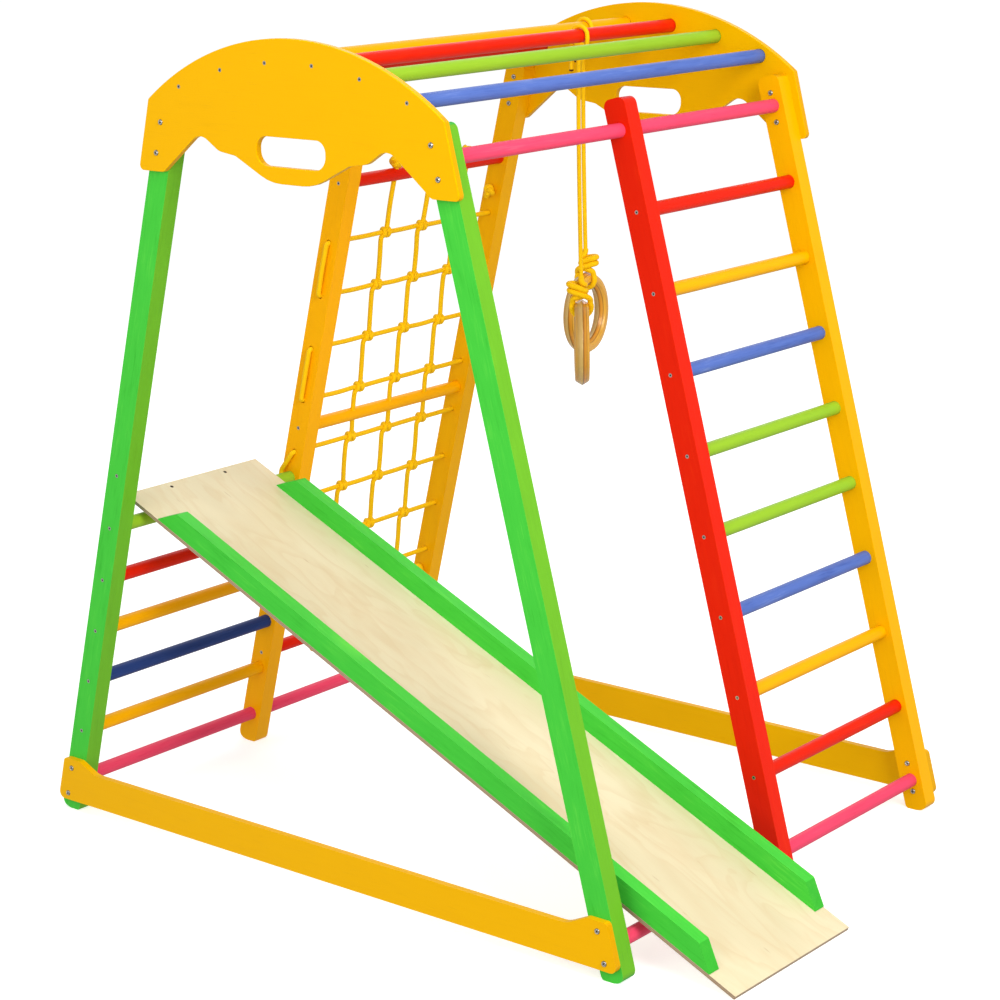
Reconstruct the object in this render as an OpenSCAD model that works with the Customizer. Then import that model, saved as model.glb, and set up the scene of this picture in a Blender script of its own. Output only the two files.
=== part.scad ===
// Indoor wooden climbing gym for toddlers with a hook-on slide. Two A-frame ends carry six
// overhead bars; a ladder wall, a rung wall, a rope net, two hanging rings and the slide fill it.
// X runs across the A-frames towards the slide's foot, Y from the near end to the far end, Z up.

/* [A-frames] */
// Width of each leg, across the A-frame
leg_w = 45; // [42:1:50]
// Depth of each leg, from the near end to the far end
leg_d = 33; // [32:1:36]
// Length of each leg along its slope
leg_len = 1372; // [1366:1:1376]
// Lean of each leg from the vertical
lean = 14.37; // [14.2:0.05:14.5]
// Distance from the middle of the gym to each leg's centreline, on the floor
half_spread = 632; // [626:1:638]
// Distance between one row of legs and the next
bay = 464.5; // [455:0.5:475]
// Thickness of the arches and base rails
plate_t = 12; // [11:0.5:13]

/* [Rungs and bars] */
// Diameter of every rung and overhead bar
rung_d = 25; // [22:1:26]
// Distance between rungs of the right ladder, along the slope
ladder_step = 140; // [136:1:142]
// Distance between rungs of the left wall, along the slope
wall_step = 103.6; // [102:0.2:104]
// Height of the arches' top edge
arch_top = 1450; // [1445:1:1455]

/* [Slide] */
// Length of the slide's board
board_len = 1460; // [1440:5:1480]
// Width of the slide's board
board_w = 330; // [300:5:340]
// Thickness of the slide's board
board_t = 7; // [6:0.5:9]
// Height of the slide's side rails
side_h = 36; // [30:1:40]
// Thickness of the slide's side rails
side_t = 26; // [20:1:30]

/* [Ropes and rings] */
// Diameter of the rope
rope_d = 8; // [7:0.5:8]
// Outside diameter of each gymnastic ring
ring_d = 158; // [150:1:165]
// Thickness of each gymnastic ring
ring_t = 26; // [24:1:28]
// Distance between the rows of the net
net_step = 106.5; // [105:0.5:107]

/* [Hidden] */
$fn = 48;

// Stain colours
green = "limegreen";
yellow = "gold";
orange = "orange";
red = "orangered";
blue = "cornflowerblue";
pink = "hotpink";
birch = "wheat";
steel = "silver";
rope_yellow = "#f0c020";

// Rows of legs: the y of each row's near face
near_y = plate_t;
mid_y = near_y + bay;
far_y = near_y + 2 * bay;
total_y = far_y + leg_d + plate_t;

// Leg outline and end rounding. Each foot is cut flat where it meets the floor.
end_r = 14;
leg_reach = half_spread + (leg_w / 2 - end_r) * cos(lean) - end_r * sin(lean) + end_r;

// Fits
slack = 0.1;
gap = 0.3;
rung_r = rung_d / 2;
rope_r = rope_d / 2;
socket_depth = 15;
bar_recess = 5;

// Ends of the short rungs in the near bay and in the far bay
bay_1 = [near_y + leg_d - socket_depth, mid_y + socket_depth];
bay_2 = [mid_y + leg_d - socket_depth, far_y + socket_depth];

// Places along the slope, measured from where a leg's centreline meets the floor
bolt_places = [36, 89, 1287, 1341];
ladder_low = 57.5;
wall_low = 61.3;
ladder_places = [for (k = [0:9]) ladder_low + k * ladder_step];
wall_places = [for (k = [0:5]) wall_low + k * wall_step];
ladder_inner = [for (k = [1:8]) ladder_places[k]];
wall_inner = [for (k = [1:5]) wall_places[k]];
spare_hole = wall_low + 6 * wall_step;
net_rung_places = [198, 683, 1176];
net_top_row = 1060;
net_rows = [for (k = [0:7]) net_top_row - k * net_step];
net_tails = [1107, 267];
net_columns = [mid_y + leg_d + 124, mid_y + leg_d + 229, mid_y + leg_d + 334];
knot_bead_r = 9.5;
lace_near = mid_y - rope_r - gap;
lace_far = far_y + leg_d + rope_r + gap;
lace_out = rung_r + rope_r + 0.8;
lace_hole_r = 5.5;
upright_top = net_rung_places[2] + rung_r + knot_bead_r + gap;
upright_low = net_rung_places[0] - rung_r - knot_bead_r - gap;
ladder_colours = [pink, red, yellow, blue, green, green, blue, yellow, red, pink];
wall_colours = [pink, orange, blue, orange, red, green];

// Overhead bars, left to right: [x, z, colour]
bars = [[-252, 1361, red], [-154, 1393, blue], [-52, 1409, yellow],
        [52, 1409, red], [154, 1393, green], [252, 1361, blue]];

// Screws, bolts and sleeve nuts
screw_r = 2;
screw_head_r = 3.5;
screw_head_h = 2;
screw_len = 50;
short_screw_len = 30;
bolt_r = 3;
bolt_len = 38;
bolt_head_r = 5;
bolt_head_h = 2.4;
nut_r = 4;
nut_len = 20;

// Arch outline
arch_r = 529;
arch_over = 12.5;
arch_foot = 1215;
arch_foot_x = side_x(arch_foot, leg_w / 2 + arch_over);
arch_half = [[arch_foot_x, arch_foot, 9], [298, arch_foot, 12], [208, 1287.5, 29], [164, 1259, 32],
             [126, 1253.7, 14], [47.5, 1214.5, 100]];
arch_shoulder = 38.2;
arch_crown = [for (i = [-30:30]) let (a = arch_shoulder * i / 30)
    [arch_r * sin(a), arch_top - arch_r * (1 - cos(a)), 0]];
handle_x = 76;
handle_low = 1242;
handle_high = 1290.5;
handle = [[-handle_x, handle_low, 24], [handle_x, handle_low, 24],
          [handle_x, handle_high, 20], [-handle_x, handle_high, 20]];

// Base rail outline
rail_low = 22;
rail_high = 84;
rail_ear = 103.5;
rail_half = [[side_x(rail_low, leg_w / 2), rail_low, 12], [side_x(rail_ear, leg_w / 2), rail_ear, 8],
             [588, rail_ear, 14], [547, rail_high, 40]];

// The slide hangs from the wall's top rung: its own frame has its origin on that rung's axis,
// +x down the slope to the foot and +z out of the sliding face
hook_rise = 27;
hook_depth = 11;
hook_t = 33;
hook_screw_x = -26.5;
top_over = 40;
slide_y = 77;
slide_s = wall_places[5];
slide_rung_x = -side_x(slide_s * cos(lean), 0);
slide_rung_z = slide_s * cos(lean);
run = board_len - top_over;
slide_angle = asin(slide_rung_z / sqrt(run * run + hook_rise * hook_rise)) + atan(hook_rise / run);
slide_foot_x = slide_rung_x + run * cos(slide_angle) + (hook_rise + board_t) * sin(slide_angle);
side_low_end = [53, 92];
side_high_end = [45, 85];
hook_ys = [slide_y + 100, slide_y + 237];
hook_outline = [[-38, -hook_depth, 5], [-rung_r - gap, -hook_depth, 3], [-rung_r - gap, 0, 0],
                [rung_r + gap, 0, 0], [rung_r + gap, -hook_depth, 3], [26, -hook_depth, 5],
                [26, hook_rise, 0], [-38, hook_rise, 0]];
side_screw_xs = [150, 500, 850, 1200];
side_screws = [for (x = side_screw_xs, y = [side_t / 2, board_w - side_t / 2]) [x, slide_y + y]];

// The whole object is centred on its own box
mid_x = (slide_foot_x - leg_reach) / 2;

// Ring ropes: [bar, y, height of the ring's middle, turn of the ring about the rope]
ring_sets = [[3, 696, 851, -51], [2, 845, 872, -79]];
ring_r = (ring_d - ring_t) / 2;
loop_r = ring_t / 2 + gap + rope_r;
knot_r = 15;
knot_rise = ring_r + 33;
knot_flat = 12;
over_r = (rung_r + gap + rope_r) / cos(15);
// A ring rope in [x, z] from its bar's axis: the short tail's end, then from the bar's other side
// down to the hitch under the bar and on to the ring
tail_end = [-over_r, -64];
hitch = [-3, -31];
hitch_r = 9;
hanging = [[over_r, 0], [over_r - 2, -10], [over_r - 8, -20], [2, -28], [-1, -40], [-2, -55]];

// x of a line parallel to a leg, off its centreline by `off`, at height z
function side_x(z, off) = half_spread - z * tan(lean) + off / cos(lean);

// Outline with each corner [x, y, r] rounded to its radius r
function unit(v) = v / norm(v);
function corner(a, b, c, r) =
    let (u = unit([a[0] - b[0], a[1] - b[1]]), v = unit([c[0] - b[0], c[1] - b[1]]),
         half = acos(u * v) / 2, cut = r / tan(half),
         m = [b[0], b[1]] + unit(u + v) * (r / sin(half)),
         p = [b[0], b[1]] + u * cut - m, q = [b[0], b[1]] + v * cut - m,
         turn = 180 - 2 * half, n = max(2, ceil(turn / 9)))
    [for (i = [0:n]) m + r * unit(p * sin((1 - i / n) * turn) + q * sin(i / n * turn))];
function rounded(pts) =
    [for (i = [0:len(pts) - 1]) let (n = len(pts), b = pts[i])
        each b[2] == 0 ? [[b[0], b[1]]] : corner(pts[(i + n - 1) % n], b, pts[(i + 1) % n], b[2])];
function flipped(pts) = [for (i = [len(pts) - 1:-1:0]) [-pts[i][0], pts[i][1], pts[i][2]]];

// Tube of radius r along points that lie in the XZ plane
function heading(path, i) = unit(path[min(i + 1, len(path) - 1)] - path[max(i - 1, 0)]);
module tube(path, r, sides = 10) {
    n = len(path);
    rings = [for (i = [0:n - 1]) let (t = heading(path, i)) for (k = [0:sides - 1])
        let (a = k * 360 / sides)
        [path[i][0] - r * cos(a) * t[1], r * sin(a), path[i][1] + r * cos(a) * t[0]]];
    skin = [for (i = [0:n - 2]) for (k = [0:sides - 1]) let (j = (k + 1) % sides)
        each [[i * sides + k, i * sides + j, (i + 1) * sides + k],
              [i * sides + j, (i + 1) * sides + j, (i + 1) * sides + k]]];
    first = [for (k = [sides - 1:-1:0]) k];
    last = [for (k = [0:sides - 1]) (n - 1) * sides + k];
    polyhedron(points = rings, faces = concat(skin, [first, last]), convexity = 6);
}

// Frames of reference
module placed() translate([-mid_x, -total_y / 2, 0]) children();
module right_side() translate([half_spread, 0, 0]) rotate([0, -lean, 0]) children();
module left_side() mirror([1, 0, 0]) right_side() children();
module near_row() translate([0, near_y, 0]) children();
module middle_row() translate([0, mid_y, 0]) children();
module far_row() translate([0, far_y + leg_d, 0]) mirror([0, 1, 0]) children();
module far_end() translate([0, total_y, 0]) mirror([0, 1, 0]) children();
module on_slide() translate([slide_rung_x, 0, slide_rung_z]) rotate([0, slide_angle, 0]) children();

// Shapes: an upright slab, and a round bar or hole that runs along y at x = 0
module slab(t) translate([0, t, 0]) rotate([90, 0, 0]) linear_extrude(t) children();
module along_y(z, r, y0, y1) translate([0, y0, z]) rotate([-90, 0, 0]) cylinder(r = r, h = y1 - y0);

// Countersunk screw along +y with its head flush at y = 0, and the hole it needs
module screw(length) rotate([-90, 0, 0]) difference() {
    union() {
        cylinder(r1 = screw_head_r, r2 = screw_r, h = screw_head_h);
        cylinder(r = screw_r, h = length);
    }
    translate([0, 0, -1]) cylinder(r = screw_r * 0.8, h = 2.6, $fn = 6);
}
module screw_hole(depth) rotate([-90, 0, 0]) {
    translate([0, 0, -slack])
        cylinder(r1 = screw_head_r + 2 * slack, r2 = screw_r + slack, h = screw_head_h + slack);
    cylinder(r = screw_r + slack / 2, h = depth);
}
module screws_at(places, length) for (s = places) translate([0, 0, s]) screw(length);
module screw_holes_at(places) for (s = places) translate([0, 0, s]) screw_hole(leg_d);

// Domed head with a cross slot, facing -y from y = 0
module cross_head() difference() {
    intersection() {
        translate([0, -bolt_head_h, 0]) rotate([-90, 0, 0]) cylinder(r = bolt_head_r, h = bolt_head_h);
        translate([0, 2 * bolt_head_r - bolt_head_h, 0]) sphere(r = 2 * bolt_head_r);
    }
    for (turn = [45, 135]) rotate([0, turn, 0])
        translate([-3.2, -bolt_head_h - 1, -0.6]) cube([6.4, 2.4, 1.2]);
}
module bolt() {
    cross_head();
    along_y(0, bolt_r, 0, bolt_len);
}
module sleeve_nut() difference() {
    union() {
        cross_head();
        along_y(0, nut_r, 0, nut_len);
    }
    along_y(0, bolt_r + slack / 2, 2, nut_len + 1);
}

// Leg blank with its near face at y = 0
module leg_blank() slab(leg_d) polygon(rounded([
    [-leg_w / 2, 0, end_r], [leg_w / 2, 0, end_r],
    [leg_w / 2, leg_len, end_r], [-leg_w / 2, leg_len, end_r]]));
module floor_cut() translate([-1000, -100, -100]) cube([2000, total_y + 200, 100]);

// End leg: its outer face is at y = 0 and its rungs enter the inner face
module end_leg(sockets, screws, ropes) difference() {
    leg_blank();
    for (s = bolt_places) {
        along_y(s, bolt_r + slack, -1, leg_d + 1);
        along_y(s, nut_r + slack, leg_d - nut_len - 1, leg_d + 1);
    }
    for (s = sockets) along_y(s, rung_r + slack, leg_d - socket_depth, leg_d + 1);
    for (s = ropes) along_y(s, lace_hole_r, -1, leg_d + 1);
    screw_holes_at(screws);
}

// Middle post: rungs enter both faces, through rungs and ropes pass right through
module post(front, back, through, ropes) difference() {
    leg_blank();
    for (s = front) along_y(s, rung_r + slack, -1, socket_depth);
    for (s = back) along_y(s, rung_r + slack, leg_d - socket_depth, leg_d + 1);
    for (s = through) along_y(s, rung_r + slack, -1, leg_d + 1);
    for (s = ropes) along_y(s, lace_hole_r, -1, leg_d + 1);
    screw_holes_at(back);
    translate([0, leg_d, 0]) mirror([0, 1, 0]) screw_holes_at(front);
}

// Legs and posts
module leg_near_left() color(green) placed() difference() {
    left_side() near_row() end_leg(wall_places, concat(wall_inner, [spare_hole]), []);
    floor_cut();
}
module leg_near_right() color(green) placed() difference() {
    right_side() near_row() end_leg([ladder_places[0], ladder_places[9]], [], []);
    floor_cut();
}
module leg_far_left() color(yellow) placed() difference() {
    left_side() far_row()
        end_leg(concat([wall_places[0]], net_rung_places), net_rung_places, concat(net_rows, net_tails));
    floor_cut();
}
module leg_far_right() color(yellow) placed() difference() {
    right_side() far_row() end_leg(ladder_places, ladder_inner, []);
    floor_cut();
}
module post_left() color(orange) placed() difference() {
    left_side() middle_row() post(wall_inner, net_rung_places, [wall_places[0]], net_rows);
    floor_cut();
}
module post_right() color(red) placed() difference() {
    right_side() middle_row() post([], ladder_inner, [ladder_places[0], ladder_places[9]], []);
    floor_cut();
}

// Arch with its outer face at y = 0: round top, feet over the legs, wavy lower edge, hand hole
module arch() difference() {
    slab(plate_t) difference() {
        polygon(rounded(concat(arch_half, flipped(arch_half), arch_crown)));
        polygon(rounded(handle));
    }
    for (side = [0, 1]) mirror([side, 0, 0]) right_side() for (s = [bolt_places[2], bolt_places[3]])
        along_y(s, bolt_r + slack, -1, plate_t + 1);
    for (b = bars) translate([b[0], 0, 0]) {
        along_y(b[1], rung_r + slack, plate_t - bar_recess, plate_t + 1);
        translate([0, 0, b[1]]) screw_hole(plate_t);
    }
}
module arch_near() color(yellow) placed() arch();
module arch_far() color(yellow) placed() far_end() arch();

// Base rail with its outer face at y = 0: a long board with a raised ear over each leg
module base_rail() difference() {
    slab(plate_t) polygon(rounded(concat(rail_half, flipped(rail_half))));
    for (side = [0, 1]) mirror([side, 0, 0]) right_side() for (s = [bolt_places[0], bolt_places[1]])
        along_y(s, bolt_r + slack, -1, plate_t + 1);
}
module base_rail_near() color(yellow) placed() base_rail();
module base_rail_far() color(yellow) placed() far_end() base_rail();

// Rungs and bars: a round bar with a pilot hole in each end for its screw
module rung(y0, y1, pilot = screw_len - leg_d + socket_depth) difference() {
    along_y(0, rung_r, y0, y1);
    along_y(0, screw_r + slack / 2, y0 - 1, y0 + pilot + 1);
    along_y(0, screw_r + slack / 2, y1 - pilot - 1, y1 + 1);
}
module ladder_rung(k) color(ladder_colours[k]) placed() right_side()
    translate([0, 0, ladder_places[k]]) rung(bay_2[0], bay_2[1]);
module long_ladder_rung(k) color(ladder_colours[k]) placed() right_side()
    along_y(ladder_places[k], rung_r, bay_1[0], bay_2[1]);
module ladder_rung_low() long_ladder_rung(0);
module ladder_rung_high() long_ladder_rung(9);
module wall_rung(k) color(wall_colours[k]) placed() left_side()
    translate([0, 0, wall_places[k]]) rung(bay_1[0], bay_1[1]);
module wall_rung_low() color(pink) placed() left_side()
    along_y(wall_places[0], rung_r, bay_1[0], bay_2[1]);
module net_rung(k, wood) color(wood) placed() left_side() translate([0, 0, net_rung_places[k]])
    difference() {
        rung(bay_2[0], bay_2[1]);
        for (y = net_columns) translate([0, y, -rung_d]) cylinder(r = rope_r + 0.6, h = 2 * rung_d);
    }
module net_rung_low() net_rung(0, red);
module net_rung_middle() net_rung(1, orange);
module net_rung_top() net_rung(2, red);
module overhead_bar(k) color(bars[k - 1][2]) placed() translate([bars[k - 1][0], 0, bars[k - 1][1]])
    rung(plate_t - bar_recess, total_y - plate_t + bar_recess, screw_len - plate_t + bar_recess);

// Rope along y or z on the left side, and a stretch between two places on a leg's face
module bead(x, y, s, r) translate([x, y, s]) sphere(r = r);
module stretch(a, b) let (d = b - a) translate(a) rotate([0, acos(d[2] / norm(d)), atan2(d[1], d[0])])
    cylinder(r = rope_r, h = norm(d));
module rope_run(pts) {
    for (i = [0:len(pts) - 2]) stretch(pts[i], pts[i + 1]);
    for (p = pts) bead(p[0], p[1], p[2], rope_r + slack);
}

// One rope laced to and fro through the post and the far leg; it passes round any rung in its way
function lace_around(top, bottom, rung) = [[0, lace_near, top], [lace_out, lace_near, rung + 12],
    [lace_out, lace_near, rung - 12], [0, lace_near, bottom]];
module net_lacing() color(rope_yellow) placed() left_side() union() {
    rope_run(concat(
        [[0, far_y - knot_bead_r, net_tails[0]], [0, lace_far, net_tails[0]], [0, lace_far, net_rows[0]]],
        [[0, lace_near, net_rows[0]], [0, lace_near, net_rows[1]],
         [0, lace_far, net_rows[1]], [0, lace_far, net_rows[2]],
         [0, lace_near, net_rows[2]], [0, lace_near, net_rows[3]],
         [0, lace_far, net_rows[3]], [0, lace_far, net_rows[4]]],
        lace_around(net_rows[4], net_rows[5], wall_places[5]),
        [[0, lace_far, net_rows[5]], [0, lace_far, net_rows[6]]],
        lace_around(net_rows[6], net_rows[7], wall_places[3]),
        [[0, lace_far, net_rows[7]], [0, lace_far, net_tails[1]], [0, far_y - knot_bead_r, net_tails[1]]]));
    for (s = net_tails) bead(0, far_y - knot_bead_r - gap, s, knot_bead_r);
}

// Three upright ropes, knotted above the top rung, below the low rung and round each row
module net_uprights() color(rope_yellow) placed() left_side() difference() {
    for (y = net_columns) translate([0, y, 0]) {
        translate([0, 0, upright_low]) cylinder(r = rope_r, h = upright_top - upright_low);
        for (s = concat([upright_low], net_rows, [upright_top])) bead(0, 0, s, knot_bead_r);
    }
    for (s = net_rows) along_y(s, rope_r + slack, mid_y, far_y);
}

// Slide
module slide_board() color(birch) placed() on_slide() difference() {
    translate([-top_over, slide_y, hook_rise]) cube([board_len, board_w, board_t]);
    for (y = hook_ys) translate([hook_screw_x, y, hook_rise + board_t])
        rotate([-90, 0, 0]) screw_hole(board_t + 1);
    for (p = side_screws) translate([p[0], p[1], hook_rise])
        rotate([90, 0, 0]) screw_hole(board_t + 1);
}
module slide_side() difference() {
    slab(side_t) polygon(rounded([[side_high_end[0], 0, 1], [run - side_low_end[0], 0, 1],
        [run - side_low_end[1], side_h, 5], [side_high_end[1], side_h, 5]]));
    for (x = side_screw_xs) translate([x, side_t / 2, -board_t])
        cylinder(r = screw_r + slack / 2, h = short_screw_len + 1);
}
module slide_side_near() color(green) placed() on_slide()
    translate([0, slide_y, hook_rise + board_t]) slide_side();
module slide_side_far() color(green) placed() on_slide()
    translate([0, slide_y + board_w - side_t, hook_rise + board_t]) slide_side();

// Hook block under the board's top end: its notch sits over the rung
module hook_block(y) color(birch) placed() on_slide() difference() {
    translate([0, y - hook_t / 2, 0]) slab(hook_t) polygon(rounded(hook_outline));
    along_y(0, rung_r + gap, y - hook_t, y + hook_t);
    translate([hook_screw_x, y, hook_rise - short_screw_len + board_t - 1])
        cylinder(r = screw_r + slack / 2, h = short_screw_len);
}
module slide_hook_near() hook_block(hook_ys[0]);
module slide_hook_far() hook_block(hook_ys[1]);
module slide_screws() color(steel) placed() on_slide() {
    for (y = hook_ys) translate([hook_screw_x, y, hook_rise + board_t])
        rotate([-90, 0, 0]) screw(short_screw_len);
    for (p = side_screws) translate([p[0], p[1], hook_rise])
        rotate([90, 0, 0]) screw(short_screw_len);
}

// Gymnastic rings, each on one rope that is hitched round its bar with a short tail
function knot_z(set) = set[2] + knot_rise;
function over_arc(r) = [for (a = [180:-30:30]) [r * cos(a), r * sin(a)]];
module ring_rope(set) {
    end_z = knot_z(set) + knot_flat + gap - bars[set[0]][1];
    color(rope_yellow) placed() translate([bars[set[0]][0], set[1], bars[set[0]][1]]) {
        tube(concat([tail_end], over_arc(over_r), hanging, [[0, end_z]]), rope_r);
        translate([hitch[0], 0, hitch[1]]) sphere(r = hitch_r);
    }
}
module at_ring(set) translate([bars[set[0]][0], set[1], set[2]]) rotate([0, 0, set[3]]) children();
module ring_knot(set) color(rope_yellow) placed() at_ring(set) {
    translate([0, 0, ring_r]) rotate([0, 90, 0])
        rotate_extrude() translate([loop_r, 0]) circle(r = rope_r);
    intersection() {
        translate([0, 0, knot_rise]) sphere(r = knot_r);
        translate([-knot_r, -knot_r, 0]) cube([2 * knot_r, 2 * knot_r, knot_rise + knot_flat]);
    }
}
module gym_ring(set) color(birch) placed() at_ring(set) rotate([90, 0, 0])
    rotate_extrude($fn = 96) translate([ring_r, 0]) circle(r = ring_t / 2);
module ring_rope_near() ring_rope(ring_sets[0]);
module ring_rope_far() ring_rope(ring_sets[1]);
module ring_knot_near() ring_knot(ring_sets[0]);
module ring_knot_far() ring_knot(ring_sets[1]);
module ring_near() gym_ring(ring_sets[0]);
module ring_far() gym_ring(ring_sets[1]);

// Fasteners
module at_each_foot_and_arch() {
    right_side() near_row() children();
    left_side() near_row() children();
    right_side() far_row() children();
    left_side() far_row() children();
}
module frame_bolts() color(steel) placed() at_each_foot_and_arch()
    for (s = bolt_places) translate([0, -plate_t, s]) bolt();
module sleeve_nuts() color(steel) placed() at_each_foot_and_arch()
    for (s = bolt_places) translate([0, leg_d, s]) mirror([0, 1, 0]) sleeve_nut();
module ladder_screws() color(steel) placed() right_side() {
    middle_row() screws_at(ladder_inner, screw_len);
    far_row() screws_at(ladder_inner, screw_len);
}
module wall_screws() color(steel) placed() left_side() {
    near_row() screws_at(wall_inner, screw_len);
    near_row() translate([0, 0, spare_hole]) screw(short_screw_len);
    middle_row() screws_at(net_rung_places, screw_len);
    middle_row() translate([0, leg_d, 0]) mirror([0, 1, 0]) screws_at(wall_inner, screw_len);
    far_row() screws_at(net_rung_places, screw_len);
}
module bar_screws() color(steel) placed() for (b = bars) translate([b[0], 0, b[1]]) {
    screw(screw_len);
    far_end() screw(screw_len);
}

leg_near_left();
leg_near_right();
leg_far_left();
leg_far_right();
post_left();
post_right();
arch_near();
arch_far();
base_rail_near();
base_rail_far();
for (i = [1:6]) overhead_bar(i);
ladder_rung_low();
ladder_rung_high();
for (i = [1:8]) ladder_rung(i);
wall_rung_low();
for (i = [1:5]) wall_rung(i);
net_rung_low();
net_rung_middle();
net_rung_top();
net_lacing();
net_uprights();
slide_board();
slide_side_near();
slide_side_far();
slide_hook_near();
slide_hook_far();
slide_screws();
ring_rope_near();
ring_rope_far();
ring_knot_near();
ring_knot_far();
ring_near();
ring_far();
frame_bolts();
sleeve_nuts();
ladder_screws();
wall_screws();
bar_screws();
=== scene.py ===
import math
import random

import bmesh
import bpy
from mathutils import Matrix, Vector


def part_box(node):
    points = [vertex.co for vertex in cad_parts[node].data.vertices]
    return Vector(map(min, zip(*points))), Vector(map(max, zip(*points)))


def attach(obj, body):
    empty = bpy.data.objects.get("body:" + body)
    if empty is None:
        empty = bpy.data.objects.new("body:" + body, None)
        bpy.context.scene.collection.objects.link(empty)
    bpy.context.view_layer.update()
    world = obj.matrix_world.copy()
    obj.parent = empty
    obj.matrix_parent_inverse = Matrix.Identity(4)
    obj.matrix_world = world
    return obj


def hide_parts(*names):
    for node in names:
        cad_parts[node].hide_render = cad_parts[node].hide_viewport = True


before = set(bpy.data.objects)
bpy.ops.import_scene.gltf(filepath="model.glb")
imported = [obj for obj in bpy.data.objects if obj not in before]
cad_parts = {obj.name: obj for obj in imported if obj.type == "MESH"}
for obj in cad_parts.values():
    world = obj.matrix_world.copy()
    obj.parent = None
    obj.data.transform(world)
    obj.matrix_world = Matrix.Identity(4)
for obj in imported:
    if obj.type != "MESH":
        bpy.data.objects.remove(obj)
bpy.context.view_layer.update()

# ---------------------------------------------------------------- layout, in metres
CENTRE_X = 0.0842942           # the gym's own middle plane lies this far from the box's centre
CENTRE_Y = 0.493
LEAN = math.radians(14.37)     # of each leg from the upright
HALF_SPREAD = 0.632            # from the middle plane to a leg's centreline at the floor
LEG_DEPTH = 0.033
PLATE = 0.012                  # thickness of the arches and base rails
MIDDLE_Y = 0.4765              # near face of the middle posts, from the near end
FAR_Y = 0.941                  # near face of the far legs
ROPE_R = 0.004
RUNG_R = 0.0125
NET_COLUMNS = [MIDDLE_Y + LEG_DEPTH + d for d in (0.124, 0.229, 0.334)]
NET_ROWS = [1.060 - k * 0.1065 for k in range(8)]       # up the slope, like the next three
NET_TAILS = (1.107, 0.267)
NET_RUNGS = (0.198, 0.683, 1.176)
WALL_RUNGS = [0.0613 + k * 0.1036 for k in range(6)]
SLIDE_TILT = math.radians(24.36292)
BAR_HEIGHT = 1.409
RING_R = 0.066                 # to the middle of the ring's section
RING_T = 0.026                 # thickness of that section


def place(x, y, z):
    """A point of the gym, measured from its middle plane, near end and floor."""
    return Vector((x - CENTRE_X, y - CENTRE_Y, z))


def on_left(s, y, off=0.0):
    """A point on the left A-frame side: s up the slope, off outwards from the legs' centreline."""
    x = HALF_SPREAD - s * math.sin(LEAN) + off * math.cos(LEAN)
    return place(-x, y, s * math.cos(LEAN) + off * math.sin(LEAN))


# ---------------------------------------------------------------- camera
def make_camera():
    """The photograph's own viewpoint, given by the camera's place and its three axes."""
    data = bpy.data.cameras.new("camera")
    data.lens = 94.766
    data.sensor_width = 36
    data.shift_x = -0.03176
    data.shift_y = -0.09369
    data.clip_start = 0.05
    camera = bpy.data.objects.new("camera", data)
    right = Vector((0.781062, 0.624331, -0.012329))
    down = Vector((0.125521, -0.176310, -0.976299))
    forward = Vector((-0.611708, 0.761003, -0.216075))
    turn = Matrix((right, -down, -forward)).transposed()
    camera.matrix_world = Matrix.Translation((2.86283, -3.54732, 1.78003)) @ turn.to_4x4()
    bpy.context.scene.collection.objects.link(camera)
    bpy.context.scene.camera = camera


make_camera()


# ---------------------------------------------------------------- curves and tubes
def smooth(points, per=8):
    """Catmull-Rom curve through the points."""
    pts = [Vector(p) for p in points]
    pts = [2 * pts[0] - pts[1]] + pts + [2 * pts[-1] - pts[-2]]
    out = []
    for i in range(1, len(pts) - 2):
        a, b, c, d = pts[i - 1], pts[i], pts[i + 1], pts[i + 2]
        for j in range(per):
            t = j / per
            out.append(0.5 * (2 * b + (c - a) * t + (2 * a - 5 * b + 4 * c - d) * t * t
                              + (3 * b - a - 3 * c + d) * t ** 3))
    return out + [pts[-2]]


def filleted(points, r, step=0.0015):
    """The polyline through the points with each corner turned on radius r."""
    pts = [Vector(p) for p in points]
    out = [pts[0]]
    for a, b, c in zip(pts, pts[1:], pts[2:]):
        u, v = (a - b).normalized(), (c - b).normalized()
        half = u.angle(v) / 2
        if half > math.radians(88):
            out.append(b)
            continue
        cut = min(r / math.tan(half), 0.48 * (a - b).length, 0.48 * (c - b).length)
        radius = cut * math.tan(half)
        middle = b + (u + v).normalized() * (radius / math.sin(half))
        p, q = b + u * cut - middle, b + v * cut - middle
        n = max(4, int(radius * (math.pi - 2 * half) / step))
        out += [middle + p.slerp(q, i / n) * radius / p.slerp(q, i / n).length for i in range(n + 1)]
    return out + [pts[-1]]


def even(points, step):
    """The same line with points at equal steps."""
    total = sum((b - a).length for a, b in zip(points, points[1:]))
    n = max(2, round(total / step))
    want, out, gone = total / n, [points[0].copy()], 0.0
    for a, b in zip(points, points[1:]):
        d = (b - a).length
        while gone + d >= want * len(out) - 1e-9 and len(out) < n:
            out.append(a.lerp(b, (want * len(out) - gone) / max(d, 1e-9)))
        gone += d
    return out + [points[-1].copy()]


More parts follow.
